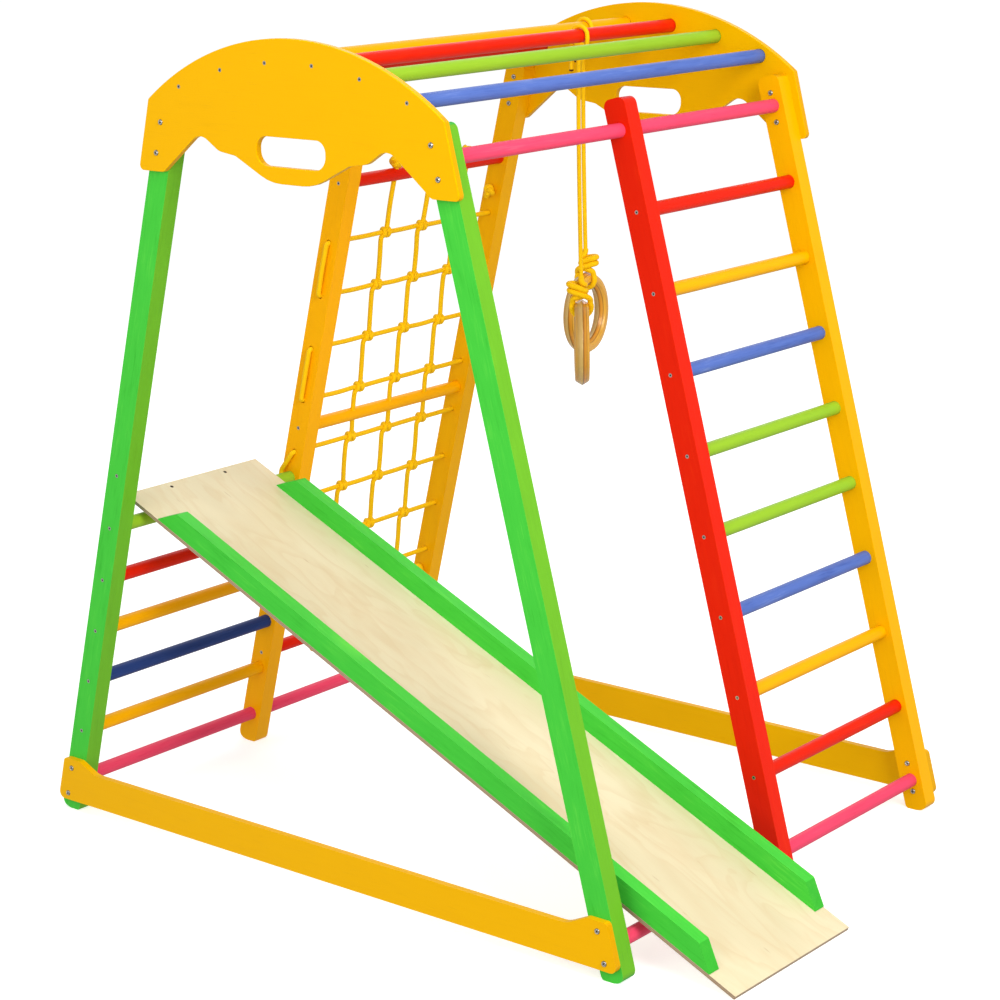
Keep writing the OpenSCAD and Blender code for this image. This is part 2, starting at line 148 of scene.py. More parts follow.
def strand(points, r, sides=14):
    """One rope's tube along the points: vertices, faces, and each vertex's place along and round it."""
    n = len(points)
    heads = [(points[min(i + 1, n - 1)] - points[max(i - 1, 0)]).normalized() for i in range(n)]
    side = heads[0].orthogonal().normalized()
    verts, lay, gone = [], [], 0.0
    for i, (p, t) in enumerate(zip(points, heads)):
        if i:
            side = (side - t * side.dot(t)).normalized()
            gone += (p - points[i - 1]).length
        up = t.cross(side)
        for k in range(sides):
            a = 2 * math.pi * k / sides
            verts.append(p + (side * math.cos(a) + up * math.sin(a)) * r)
            lay.append((gone, math.cos(a), math.sin(a)))
    for end, t, at in ((0, -heads[0], 0.0), (n - 1, heads[-1], gone)):
        verts.append(points[end] + t * r * 0.45)
        lay.append((at, 0.0, 0.0))
    faces = []
    for i in range(n - 1):
        for k in range(sides):
            j = (k + 1) % sides
            faces.append((i * sides + k, i * sides + j, (i + 1) * sides + j, (i + 1) * sides + k))
    for k in range(sides):
        j = (k + 1) % sides
        faces.append((n * sides, j, k))
        faces.append((n * sides + 1, (n - 1) * sides + k, (n - 1) * sides + j))
    return verts, faces, lay


def rope_piece(name, strands, burnt_tip=None):
    """One piece made of several ropes, heat-sealed and brown below the height burnt_tip."""
    verts, faces, lay = [], [], []
    for v, f, c in strands:
        faces += [tuple(i + len(verts) for i in face) for face in f]
        verts += v
        lay += c
    mesh = bpy.data.meshes.new(name)
    mesh.from_pydata([tuple(v) for v in verts], [], faces)
    attribute = mesh.attributes.new("lay", "FLOAT_VECTOR", "POINT")
    attribute.data.foreach_set("vector", [number for place_on in lay for number in place_on])
    tips = [1.0 if burnt_tip and v[2] < burnt_tip else 0.0 for v in verts]
    mesh.attributes.new("burnt", "FLOAT", "POINT").data.foreach_set("value", tips)
    mesh.polygons.foreach_set("use_smooth", [True] * len(faces))
    mesh.update()
    piece = bpy.data.objects.new(name, mesh)
    bpy.context.scene.collection.objects.link(piece)
    return piece


def overhand(centre, head, out, size=0.0029, turn=0.0):
    """Points of a small stopper knot: the rope comes in along head and its tail leaves along out."""
    head = Vector(head).normalized()
    side = Vector(out) - head * Vector(out).dot(head)
    side.normalize()
    up = head.cross(side)
    pts = []
    for i in range(25):
        t = turn + 2 * math.pi * (0.04 + 0.92 * i / 24)
        x = math.sin(t) + 2 * math.sin(2 * t)
        y = math.cos(t) - 2 * math.cos(2 * t)
        z = -1.35 * math.sin(3 * t)
        pts.append(Vector(centre) + (side * x + up * y) * size + head * z * size)
    return pts


# ---------------------------------------------------------------- materials
class Graph:
    """Short calls for building a material's nodes."""

    def __init__(self, name):
        self.material = bpy.data.materials.new(name)
        self.material.use_nodes = True
        self.nodes = self.material.node_tree.nodes
        self.links = self.material.node_tree.links
        self.shader = self.nodes["Principled BSDF"]

    def add(self, kind, **inputs):
        node = self.nodes.new(kind)
        for key, value in inputs.items():
            self.put(node, key, value)
        return node

    def put(self, node, key, value):
        """Links or sets an input, given by its name or as i and its number."""
        socket = node.inputs[int(key[1:])] if key[0] == "i" and key[1:].isdigit() else node.inputs[key]
        if isinstance(value, bpy.types.NodeSocket):
            self.links.new(value, socket)
        else:
            socket.default_value = value

    def attribute(self, name, output="Vector"):
        """What the mesh code has stored under this name."""
        node = self.add("ShaderNodeAttribute")
        node.attribute_name = name
        return node.outputs[output]

    def scaled(self, vector, scale):
        node = self.add("ShaderNodeMapping", Vector=vector)
        node.inputs["Scale"].default_value = scale
        return node.outputs["Vector"]

    def noise(self, vector, scale, detail=4.0, rough=0.55, distortion=0.0):
        node = self.add("ShaderNodeTexNoise", Vector=vector, Scale=scale, Detail=detail,
                        Roughness=rough, Distortion=distortion)
        return node.outputs["Fac"]

    def math(self, operation, a, b=None):
        node = self.add("ShaderNodeMath", i0=a)
        node.operation = operation
        if b is not None:
            self.put(node, "i1", b)
        return node.outputs[0]

    def ramp(self, value, stops, ease=False):
        node = self.add("ShaderNodeValToRGB", Fac=value)
        ramp = node.color_ramp
        ramp.interpolation = "EASE" if ease else "LINEAR"
        while len(ramp.elements) < len(stops):
            ramp.elements.new(0.5)
        for element, (at, colour) in zip(ramp.elements, stops):
            element.position = at
            element.color = (*colour, 1)
        return node.outputs["Color"]

    def span(self, value, low, high, out_low=0.0, out_high=1.0):
        """Maps low..high to out_low..out_high, clamped."""
        node = self.add("ShaderNodeMapRange", Value=value)
        for key, number in (("From Min", low), ("From Max", high),
                            ("To Min", out_low), ("To Max", out_high)):
            node.inputs[key].default_value = number
        return node.outputs["Result"]

    def mix(self, fac, a, b, blend="MIX"):
        node = self.add("ShaderNodeMix")
        node.data_type = "RGBA"
        node.blend_type = blend
        node.clamp_factor = True
        for index, value in ((0, fac), (6, a), (7, b)):
            if isinstance(value, bpy.types.NodeSocket):
                self.links.new(value, node.inputs[index])
            else:
                node.inputs[index].default_value = value if index == 0 else (*value, 1)
        return node.outputs[2]

    def bump(self, height, strength, distance):
        node = self.add("ShaderNodeBump", Height=height, Strength=strength, Distance=distance)
        return node.outputs["Normal"]


def linear(rgb):
    """sRGB 0 to 255 to linear."""
    return tuple(c / 12.92 if c <= 0.04045 else ((c + 0.055) / 1.055) ** 2.4
                 for c in (v / 255 for v in rgb))


def times(rgb, k):
    """A linear colour made k times as bright."""
    return tuple(min(1.0, c * k) for c in rgb)


def stained(name, rgb, streak, pale, rough, figure, painted_light_flank=None, knots=0.0):
    """Satin translucent stain over planed wood. streak is how unevenly the wood took it, pale its colour
    where it took least, figure the strength of the growth rings and knots how many it has. The colour given
    for a leg's narrow faces is painted light: a yellower green on those faces that copies how the key-lit
    side looks."""
    g = Graph(name)
    base = linear(rgb)
    deep = tuple(c ** 1.25 * 0.78 for c in base)
    light = linear(pale)
    at = g.attribute("grain")
    fine = g.noise(g.scaled(at, (1, 1, 0.05)), 420, 5, 0.62, 0.2)
    medium = g.noise(g.scaled(at, (1, 1, 0.09)), 120, 4, 0.55, 0.6)
    cloud = g.noise(g.scaled(at, (1, 1, 0.4)), 24, 4, 0.55, 0.4)
    warp = g.noise(g.scaled(at, (1, 1, 0.16)), 9, 2, 0.5)
    across = g.add("ShaderNodeSeparateXYZ", Vector=at)
    rings = g.math("ADD", g.math("MULTIPLY", across.outputs[0], 420.0), g.math("MULTIPLY", warp, 30.0))
    rings = g.math("ADD", rings, g.math("MULTIPLY", across.outputs[1], 120.0))
    band = g.math("SINE", rings)
    band = g.span(band, 0.2, 1.0)
    tone = g.math("ADD", g.math("MULTIPLY", g.span(fine, 0.3, 0.7), 0.34),
                  g.math("MULTIPLY", g.span(medium, 0.3, 0.7), 0.26))
    tone = g.math("ADD", tone, g.math("MULTIPLY", g.span(cloud, 0.25, 0.75), 0.40))
    tone = g.math("SUBTRACT", tone, g.math("MULTIPLY", band, 0.22 * figure))
    low, high = 0.5 - 0.5 * streak, 0.5 + 0.5 * streak
    spread = g.span(tone, 0.0, 1.0, low, high)
    colour = g.ramp(spread, [(0.0, deep), (0.5, base), (1.0, light)], ease=True)
    # painted light: a leg's narrow faces are mixed toward a yellower green, copying the key-lit side
    if painted_light_flank:
        side = g.ramp(spread, [(0.0, times(linear(painted_light_flank), 0.78)), (0.5, linear(painted_light_flank)),
                               (1.0, times(linear(painted_light_flank), 1.2))], ease=True)
        colour = g.mix(g.math("MULTIPLY", g.attribute("painted_light_flank", "Fac"), 0.9), colour, side)
    if knots:
        # a knot is a dark eye in a pale halo that the grain flows round
        cell = g.add("ShaderNodeTexVoronoi", Vector=g.scaled(at, (1, 1, 0.75)), Scale=knots)
        cell.inputs["Randomness"].default_value = 0.8
        eye = g.math("ADD", cell.outputs["Distance"], g.math("MULTIPLY", medium, 0.03))
        colour = g.mix(g.math("MULTIPLY", g.span(eye, 0.16, 0.06), 0.55), colour, light)
        colour = g.mix(g.math("MULTIPLY", g.span(eye, 0.07, 0.045), 0.75), colour, times(deep, 0.5))
    # pores: short dark dashes along the grain
    pores = g.noise(g.scaled(at, (1, 1, 0.02)), 900, 2, 0.5)
    pores = g.span(pores, 0.66, 0.74)
    colour = g.mix(g.math("MULTIPLY", pores, 0.35 * streak + 0.08), colour, times(base, 0.45))
    # arrises made paler, partly stain worn off and partly a painted edge highlight, and darker end grain
    edge = g.attribute("edge", "Fac")
    wear_and_edge_highlight = g.math("MULTIPLY", edge, g.span(g.noise(at, 70, 4, 0.6), 0.35, 0.7, 0.15, 0.75))
    colour = g.mix(wear_and_edge_highlight, colour, light)
    ends = g.attribute("end", "Fac")
    colour = g.mix(g.math("MULTIPLY", ends, 0.4), colour, times(deep, 0.8))
    g.put(g.shader, "Base Color", colour)
    g.put(g.shader, "Roughness", g.span(g.math("ADD", fine, g.math("MULTIPLY", cloud, 0.6)),
                                        0.5, 1.1, rough - 0.07, rough + 0.1))
    height = g.math("SUBTRACT", g.math("ADD", fine, g.math("MULTIPLY", medium, 0.6)),
                    g.math("MULTIPLY", pores, 0.8))
    g.put(g.shader, "Normal", g.bump(height, 0.22, 0.0006))
    g.shader.inputs["Specular IOR Level"].default_value = 0.24
    g.shader.inputs["Specular Tint"].default_value = (*light, 1)
    return g.material


def birch_ply(name):
    """Clear-coated birch plywood: flame figure on the face, plies on every edge."""
    two_plies = 0.0028
    g = Graph(name)
    at = g.attribute("grain")
    parts = g.add("ShaderNodeSeparateXYZ", Vector=at)
    warp = g.noise(g.scaled(at, (1, 1, 0.3)), 7.5, 3, 0.5, 0.5)
    wide = g.math("ADD", g.math("MULTIPLY", parts.outputs[0], 16.0), g.math("MULTIPLY", warp, 9.0))
    wide = g.math("ADD", wide, g.math("MULTIPLY", parts.outputs[2], 1.6))
    line = g.math("FRACT", wide)
    line = g.math("MULTIPLY", g.span(line, 0.0, 0.08), g.span(line, 1.0, 0.55))
    fine = g.noise(g.scaled(at, (1, 1, 0.03)), 380, 5, 0.6, 0.1)
    flame = g.noise(g.scaled(at, (1, 1, 0.3)), 26, 3, 0.5, 1.2)
    cloud = g.noise(g.scaled(at, (1, 1, 0.4)), 5, 3, 0.5)
    face = g.ramp(g.span(cloud, 0.3, 0.7), [(0.0, linear((212, 200, 164))), (0.5, linear((221, 209, 174))),
                                          (1.0, linear((228, 218, 186)))], ease=True)
    face = g.mix(g.math("MULTIPLY", g.math("SUBTRACT", 1.0, line), 0.26), face, linear((206, 180, 134)))
    face = g.mix(g.math("MULTIPLY", g.span(flame, 0.52, 0.74), 0.36), face, linear((210, 184, 140)))
    face = g.mix(g.math("MULTIPLY", g.span(fine, 0.55, 0.75), 0.22), face, linear((204, 182, 138)))
    # pin-sized brown flecks
    fleck = g.noise(g.scaled(at, (1, 1, 0.18)), 130, 1, 0.4)
    face = g.mix(g.math("MULTIPLY", g.span(fleck, 0.76, 0.82), 0.4), face, linear((168, 128, 84)))
    # the edge: a light ply, a glue line, a dark ply and a glue line, over and over
    layer = g.math("FRACT", g.math("MULTIPLY", parts.outputs[1], 1 / two_plies))
    ply = g.ramp(layer, [(0.0, linear((170, 150, 124))), (0.46, linear((186, 168, 142))),
                         (0.5, linear((104, 84, 66))), (0.56, linear((150, 122, 94))),
                         (0.95, linear((164, 136, 106))), (1.0, linear((102, 80, 60)))])
    ply = g.mix(g.span(fine, 0.35, 0.7, 0.0, 0.4), ply, linear((150, 118, 84)))
    colour = g.mix(g.attribute("end", "Fac"), face, ply)
    g.put(g.shader, "Base Color", colour)
    g.put(g.shader, "Roughness", g.span(fine, 0.3, 0.7, 0.34, 0.5))
    g.put(g.shader, "Normal", g.bump(g.math("ADD", fine, g.math("MULTIPLY", layer, 0.3)), 0.12, 0.0005))
    g.shader.inputs["Specular IOR Level"].default_value = 0.3
    return g.material


def ring_wood(name):
    """Laminated birch under gloss varnish: a few layers stacked through the ring's thickness."""
    g = Graph(name)
    at = g.attribute("grain")
    parts = g.add("ShaderNodeSeparateXYZ", Vector=at)
    wave = g.noise(g.scaled(at, (1, 1, 0.3)), 30, 2, 0.5)
    depth = g.math("ADD", parts.outputs[1], g.math("MULTIPLY", g.math("SUBTRACT", wave, 0.5), 0.0016))
    fine = g.noise(g.scaled(at, (1, 1, 0.1)), 420, 5, 0.62, 0.2)
    cloud = g.noise(g.scaled(at, (1, 1, 0.35)), 34, 3, 0.5)
    place_in = g.span(depth, -RING_T / 2, RING_T / 2)
    colour = g.ramp(place_in, [(0.0, linear((196, 148, 60))), (0.2, linear((178, 144, 78))),
                               (0.3, linear((194, 168, 106))), (0.5, linear((212, 184, 112))),
                               (0.55, linear((96, 52, 8))), (0.62, linear((204, 130, 24))),
                               (0.74, linear((226, 162, 46))), (0.8, linear((160, 100, 24))),
                               (0.85, linear((232, 180, 66))), (1.0, linear((226, 168, 54)))])
    colour = g.mix(g.span(cloud, 0.35, 0.7, 0.0, 0.4), colour, linear((204, 142, 38)))
    colour = g.mix(g.span(fine, 0.5, 0.72, 0.0, 0.45), colour, linear((140, 94, 34)))
    g.put(g.shader, "Base Color", colour)
    g.put(g.shader, "Roughness", g.span(fine, 0.3, 0.7, 0.24, 0.4))
    g.put(g.shader, "Normal", g.bump(fine, 0.06, 0.0004))
    g.shader.inputs["Coat Weight"].default_value = 0.4
    g.shader.inputs["Coat Roughness"].default_value = 0.2
    g.shader.inputs["Specular Tint"].default_value = (1.0, 0.86, 0.6, 1)
    return g.material


def braided(name, rgb):
    """Smooth braided rope: two families of strands cross around it."""
    g = Graph(name)
    base = linear(rgb)
    at = g.attribute("lay")
    parts = g.add("ShaderNodeSeparateXYZ", Vector=at)
    angle = g.math("ARCTAN2", parts.outputs[2], parts.outputs[1])
    # how far the weave has turned: six strands each way round, three to each pitch along
    pitch = 0.0115
    across = g.math("MULTIPLY", angle, 6.0)
    along = g.math("MULTIPLY", g.math("MULTIPLY", parts.outputs[0], 2 * math.pi / pitch), 3.0)
    one, two = g.math("SINE", g.math("ADD", across, along)), g.math("SINE", g.math("SUBTRACT", across, along))
    weave = g.math("MULTIPLY", one, two)
    weave = g.span(weave, -0.7, 0.5)
    fibre = g.noise(g.scaled(at, (500, 9, 9)), 4, 4, 0.6)
    soil = g.noise(g.scaled(at, (16, 0.6, 0.6)), 2, 3, 0.5)
    # painted shade: where the weave dips, between the strands, the colour is painted a tenth darker
    colour = g.mix(weave, times(base, 0.9), base)
    colour = g.mix(g.span(fibre, 0.4, 0.75, 0.0, 0.25), colour, linear((255, 214, 40)))
    colour = g.mix(g.span(soil, 0.45, 0.8, 0.0, 0.25), colour, times(base, 0.86))
    burnt = g.attribute("burnt", "Fac")
    colour = g.mix(burnt, colour, linear((86, 40, 14)))
    g.put(g.shader, "Base Color", colour)
    g.put(g.shader, "Roughness", g.span(fibre, 0.3, 0.7, 0.45, 0.65))
    height = g.math("ADD", weave, g.math("MULTIPLY", fibre, 0.5))
    g.put(g.shader, "Normal", g.bump(height, 0.25, 0.0005))
    g.shader.inputs["Specular IOR Level"].default_value = 0.25
    g.shader.inputs["Specular Tint"].default_value = (1.0, 0.75, 0.2, 1)
    return g.material


def plated(name, tint=(1, 1, 1)):
    """Plated steel with faint brushing and dull spots. tint is the plating's own colour."""
    g = Graph(name)
    at = g.add("ShaderNodeTexCoord").outputs["Object"]
    spots = g.noise(at, 900, 4, 0.6)
    brush = g.noise(g.scaled(at, (1, 1, 6)), 1600, 3, 0.6)
    colour = g.ramp(g.span(spots, 0.3, 0.75), [(0.0, linear((204, 202, 194))), (0.6, linear((178, 176, 170))),
                                            (1.0, linear((128, 124, 116)))])
    colour = g.mix(1.0, colour, tint, "MULTIPLY")
    # painted shade: faces marked slot, the inside of a screw's recess and a bolt head's cross slot and rim,
    # are painted nearly black
    slot = g.attribute("slot", "Fac")
    colour = g.mix(slot, colour, linear((28, 26, 24)))
    g.put(g.shader, "Base Color", colour)
    g.shader.inputs["Metallic"].default_value = 1.0
    g.put(g.shader, "Roughness", g.span(spots, 0.3, 0.75, 0.2, 0.42))
    g.put(g.shader, "Normal", g.bump(brush, 0.12, 0.0002))
    return g.material


STAINS = {
    # the green's colour (108, 172, 36) is painted light on the legs' narrow faces
    "green": stained("green_stained_wood", (68, 194, 60), 0.75, (112, 222, 78), 0.42, 0.25,
                     (108, 172, 36), 3.2),
    "lime": stained("lime_stained_dowel", (146, 190, 44), 0.5, (176, 210, 70), 0.42, 0.3),
    "yellow": stained("yellow_stained_wood", (238, 172, 0), 0.45, (248, 198, 2), 0.42, 0.3),
    "plate": stained("yellow_stained_plywood", (235, 175, 0), 0.34, (247, 193, 2), 0.4, 0.3),
    "orange": stained("orange_stained_wood", (248, 174, 0), 0.45, (252, 190, 2), 0.42, 0.3),
    "red": stained("red_stained_wood", (221, 32, 8), 0.45, (242, 72, 18), 0.4, 0.25),
    "blue": stained("blue_stained_dowel", (84, 110, 184), 0.8, (126, 148, 210), 0.45, 0.4),
    # painted shade: a darker copy of the blue stain, for the wall rung that lies in the slide's shadow
    "blue_in_painted_shade": stained("blue_dowel_in_painted_shade", (40, 62, 122), 0.7, (66, 88, 152), 0.45, 0.4),
    "pink": stained("pink_stained_dowel", (232, 70, 104), 0.6, (248, 114, 136), 0.42, 0.4),
    "bare": stained("varnished_pine", (206, 168, 108), 0.7, (226, 192, 136), 0.4, 0.5),
}
PLY = birch_ply("birch_plywood")
RING_WOOD = ring_wood("laminated_birch")
ROPE = braided("yellow_braided_rope", (248, 194, 8))
PLATED = plated("zinc_plated_steel")
BRONZED = plated("bronzed_steel", (0.16, 0.1, 0.06))


# ---------------------------------------------------------------- wooden members
def finish_piece(piece, material, body, slot, *nodes):
    """Gives a piece its material, its body and the CAD nodes that it stands for; its slot is not used."""
    piece.data.materials.clear()
    piece.data.materials.append(material)
    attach(piece, body)
    if nodes:
        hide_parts(*nodes)
    return piece


def grained(mesh, origin, across, through, along, shift, painted_light_flanks=False, plies=False):
    """Keeps each point's place in the wood: across, through and along the grain, in metres. A plywood board
    shows its plies on every edge; only a leg's narrow faces are marked, for the painted light on them."""
    values = []
    for v in mesh.vertices:
        d = v.co - origin
        values += [d.dot(across) + shift[0], d.dot(through) + shift[1], d.dot(along) + shift[2]]
    mesh.attributes.new("grain", "FLOAT_VECTOR", "POINT").data.foreach_set("vector", values)
    normals = [f.normal.copy() for f in mesh.polygons]
    ends = [abs(n.dot(along)) > 0.6 or plies and abs(n.dot(across)) > 0.6 for n in normals]
    sides = [painted_light_flanks and abs(n.dot(across)) > 0.8 for n in normals]
    for name, marks in (("end", ends), ("painted_light_flank", sides)):
        mesh.attributes.new(name, "FLOAT", "FACE").data.foreach_set("value", [float(m) for m in marks])


shifts = random.Random(11)     # where in its timber each piece was cut
HOLE_EDGE = 0.0013             # an edge shorter than this belongs to a drilled hole
HOLE_ARRIS = 0.0004
END_EASE = 0.0015              # how far a dowel's end is eased


def member(name, node, material, body, slot, along, arris=0.0018, segments=3, through=(0, 1, 0)):
    """A planed board or leg: the CAD solid with its arrises eased and its grain laid along it."""
    bm = bmesh.new()
    bm.from_mesh(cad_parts[node].data)
    bmesh.ops.remove_doubles(bm, verts=bm.verts, dist=1e-6)
    bmesh.ops.dissolve_limit(bm, angle_limit=math.radians(0.6), verts=bm.verts, edges=bm.edges)
    sharp = [e for e in bm.edges if len(e.link_faces) == 2 and e.calc_face_angle(0) > math.radians(38)
             and e.is_convex]
    # the many short edges round a drilled hole stay nearly sharp
    rims = [e for e in sharp if e.calc_length() < HOLE_EDGE]
    sharp = [e for e in sharp if e.calc_length() >= HOLE_EDGE]
    layer = bm.faces.layers.float.new("edge")
    made = bmesh.ops.bevel(bm, geom=sharp, offset=arris, segments=segments, profile=0.5,
                           affect="EDGES", clamp_overlap=True)
    for face in made["faces"]:
        if face.is_valid:
            face[layer] = 1.0
    rims = [e for e in rims if e.is_valid]
    bmesh.ops.bevel(bm, geom=rims, offset=HOLE_ARRIS, segments=1, profile=0.5, affect="EDGES",
                    clamp_overlap=True)
    mesh = bpy.data.meshes.new(name)
    bm.to_mesh(mesh)
    bm.free()
    piece = bpy.data.objects.new(name, mesh)
    bpy.context.scene.collection.objects.link(piece)
    along, through = Vector(along).normalized(), Vector(through).normalized()
    shift = (shifts.uniform(-0.4, 0.4), 0.0, shifts.uniform(-3, 3))
    grained(mesh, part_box(node)[0], through.cross(along), through, along, shift, node.startswith("leg"),
            material == PLY)
    mesh.shade_smooth()
    mesh.set_sharp_from_angle(angle=math.radians(32))
    flat_faces = piece.modifiers.new("faces", "WEIGHTED_NORMAL")
    flat_faces.keep_sharp = True
    return finish_piece(piece, material, body, slot, node)


def dowel(name, node, material, body, slot):
    """A turned rung or bar, a hair out of true, with its ends eased."""
    low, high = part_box(node)
    r = (high.x - low.x) / 2
    middle = (low + high) / 2
    sides, stations = 48, 24
    profile = [(low.y, r - END_EASE), (low.y + 0.0004, r - 0.0006), (low.y + END_EASE, r)]
    span = high.y - low.y - 2 * END_EASE
    profile += [(low.y + END_EASE + span * i / stations, r) for i in range(1, stations)]
    profile += [(high.y - END_EASE, r), (high.y - 0.0004, r - 0.0006), (high.y, r - END_EASE)]
    seed = shifts.uniform(0, 6)
    verts = []
    for y, radius in profile:
        for k in range(sides):
            a = 2 * math.pi * k / sides
            true = radius * (1 - 0.006 * (0.5 + 0.5 * math.sin(3 * a + seed + 9 * y)))
            verts.append((middle.x + true * math.cos(a), y, middle.z + true * math.sin(a)))
    n = len(profile)
    faces = [(i * sides + k, (i + 1) * sides + k, (i + 1) * sides + (k + 1) % sides,
              i * sides + (k + 1) % sides) for i in range(n - 1) for k in range(sides)]
    faces += [tuple(range(sides)), tuple(range(n * sides - 1, (n - 1) * sides - 1, -1))]
    mesh = bpy.data.meshes.new(name)
    mesh.from_pydata(verts, [], faces)
    mesh.update()
    shift = (shifts.uniform(-0.4, 0.4), shifts.uniform(-0.4, 0.4), shifts.uniform(-3, 3))
    grained(mesh, middle, Vector((1, 0, 0)), Vector((0, 0, 1)), Vector((0, 1, 0)), shift)
    mesh.attributes.new("edge", "FLOAT", "FACE")
    mesh.polygons.foreach_set("use_smooth", [True] * len(faces))
    mesh.set_sharp_from_angle(angle=math.radians(50))
    piece = bpy.data.objects.new(name, mesh)
    bpy.context.scene.collection.objects.link(piece)
    return finish_piece(piece, material, body, slot, node)


def up_slope(side):
    """The direction of the legs on one side, -1 for the left and 1 for the right."""
    return (-side * math.sin(LEAN), 0, math.cos(LEAN))


for node, side, stain in (("leg_near_left", -1, "green"), ("leg_near_right", 1, "green"),
                          ("leg_far_left", -1, "yellow"), ("leg_far_right", 1, "yellow"),
                          ("post_left", -1, "orange"), ("post_right", 1, "red")):
    member("wood_" + node, node, STAINS[stain], "frame", stain + "_stain", up_slope(side), 0.0024, 3)

for node in ("arch_near", "arch_far", "base_rail_near", "base_rail_far"):
    member("wood_" + node, node, STAINS["plate"], "frame", "yellow_stain", (1, 0, 0), 0.0016, 3)

DOWELS = {"overhead_bar_1": "red", "overhead_bar_2": "blue", "overhead_bar_3": "yellow",
          "overhead_bar_4": "red", "overhead_bar_5": "lime", "overhead_bar_6": "blue",
          "ladder_rung_low": "pink", "ladder_rung_1": "red", "ladder_rung_2": "yellow",
          "ladder_rung_3": "blue", "ladder_rung_4": "lime", "ladder_rung_5": "lime",
          "ladder_rung_6": "blue", "ladder_rung_7": "yellow", "ladder_rung_8": "red",
          "ladder_rung_high": "pink", "wall_rung_low": "pink", "wall_rung_1": "orange",
          # wall_rung_2's darker blue is painted shade for the slide's shadow over it
          "wall_rung_2": "blue_in_painted_shade", "wall_rung_3": "orange", "wall_rung_4": "red",
          "wall_rung_5": "lime", "net_rung_low": "red", "net_rung_middle": "orange",
          "net_rung_top": "red"}
for node, stain in DOWELS.items():
    slot = {"lime": "green", "blue_in_painted_shade": "blue"}.get(stain, stain) + "_stain"
    dowel("wood_" + node, node, STAINS[stain], "frame", slot)

down_slide = (math.cos(SLIDE_TILT), 0, -math.sin(SLIDE_TILT))
out_of_slide = (math.sin(SLIDE_TILT), 0, math.cos(SLIDE_TILT))
member("wood_slide_board", "slide_board", PLY, "slide", "birch_ply", down_slide, 0.0005, 2, out_of_slide)
for node in ("slide_side_near", "slide_side_far"):
    member("wood_" + node, node, STAINS["green"], "slide", "green_stain", down_slide, 0.0032, 4)
for node in ("slide_hook_near", "slide_hook_far"):
    member("wood_" + node, node, STAINS["bare"], "slide", "bare_wood", down_slide, 0.0012, 2)


# ---------------------------------------------------------------- gymnastic rings and their ropes
# where each ring's centre is, and how far it is turned about its rope, in degrees
RINGS = {"near": (0.052, 0.696, 0.851, -51), "far": (-0.052, 0.845, 0.872, -79)}
HITCH_FOOT = 0.045             # the hanging strand leaves the hitch this far under the bar's axis
KNOT_HEAD = 0.049              # and runs into the knot this far over the top of the ring's centreline
TAIL_SEAL = 0.0605             # a tail is heat-sealed from here down, under the bar's axis
MM = 0.001


def hanging_strand(name, x, y, ring_z):
    """The one strand that each ring hangs on, from the hitch under the bar to the knot over the ring."""
    top, foot = BAR_HEIGHT - HITCH_FOOT, ring_z + RING_R + KNOT_HEAD
    drop = top - foot
    line = [place(x - 0.0020 * math.cos(math.pi * t / 2) - 0.0012 * math.sin(math.pi * t), y, top - drop * t)
            for t in (i / 30 for i in range(31))]
    return rope_piece(name, [strand(line, ROPE_R)]), line


def bar_hitch(name, x, y):
    """Over the bar, once round tail and strand under it, and into the hanging strand."""
    over = RUNG_R + ROPE_R + 0.0004
    # [across the bar, along it, up], in millimetres from the bar's axis
    tail = [(-17.2, -1.5, -63), (-17.6, -1, -52), (-17.2, -0.5, -38), (-17.0, 0, -22), (-16.9, 0, -8)]
    arc = [(1000 * over * math.cos(math.radians(a)), (180 - a) / 90, 1000 * over * math.sin(math.radians(a)))
           for a in range(170, 5, -15)]
    turns = [(16.6, 2, -4), (14.5, 3, -13), (9, 6, -19.5), (0, 8.6, -22.5), (-12, 9, -24), (-21.5, 6.5, -26),
             (-25.6, 0, -27.5), (-21.5, -7, -28.5), (-12, -9, -29), (0, -8.6, -29.5), (6.4, -5, -31.5),
             (8.2, 0, -33.5), (5, 3.5, -37), (0.4, 2, -42), (-1.9, 0.2, -48), (-2, 0, -54)]
    pts = [place(x, y, BAR_HEIGHT) + Vector(p) * MM for p in tail + arc + turns]
    return rope_piece(name, [strand(even(smooth(pts, 8), 0.0016), ROPE_R)], BAR_HEIGHT - TAIL_SEAL)


# The knot over a ring and its loop, in millimetres: out to the side where its rolls stand, towards
# the near end, and up from the top of the ring
KNOT = [(0, 0, 44), (0, 0.5, 39), (-0.5, 3, 34.5), (-3, 5, 31), (-6.5, 1, 28.2), (-6, -6, 26.6),
        (1, -10, 26.6), (9.4, -9.5, 28.2), (18.6, -5.6, 29.6), (22.8, 0.8, 29.4), (18.6, 7.6, 28),
        (8.6, 10.2, 25), (-0.5, 10.5, 21), (-7, 6.5, 17.6), (-8, -1.5, 15.6), (-3, -10, 15.6),
        (8.6, -10.2, 17), (18, -6.2, 18.2), (21.8, 0.6, 18), (17.8, 7.8, 16.8), (8, 11, 13.4),
        (-3, 11.4, 9.6), (-11, 8.8, 6), (-16, 3, 0.8)]
KNOT_END = [(15, 2, 1.8), (9, 6, 5.6), (-1, 5, 6.8), (-7, 0, 8.6), (-2, -4, 12)]
LOOP_OUT = 17.6                # the loop's radius round the ring's section, in millimetres
LOOP_DOWN = 13                 # and its centre, under the top of the ring
KNOT_ROPE_R = 0.0053           # pulled tight, the braid spreads


